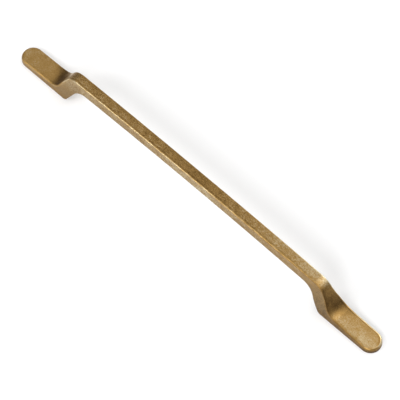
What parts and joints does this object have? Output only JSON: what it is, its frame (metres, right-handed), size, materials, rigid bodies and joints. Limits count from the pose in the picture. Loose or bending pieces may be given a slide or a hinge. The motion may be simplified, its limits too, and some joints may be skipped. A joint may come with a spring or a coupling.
{
  "type": "furniture handle",
  "caption": "Long cast brass furniture handle: a slim arched bar on sloping risers that flare into flat round-tipped feet with threaded screw holes in the back.",
  "frame": {"origin": "middle of the back plane that is screwed to the furniture, halfway between the two screw holes", "axes": "+X along the bar, +Z away from the furniture towards the hand, Y across the bar"},
  "size_m": [0.4, 0.0188, 0.0347],
  "materials": {
    "antique_brass": "cast, tumbled and darkened, with worn pale edges"
  },
  "bodies": {
    "root": {"handle": "antique_brass"}
  },
  "joints": []
}
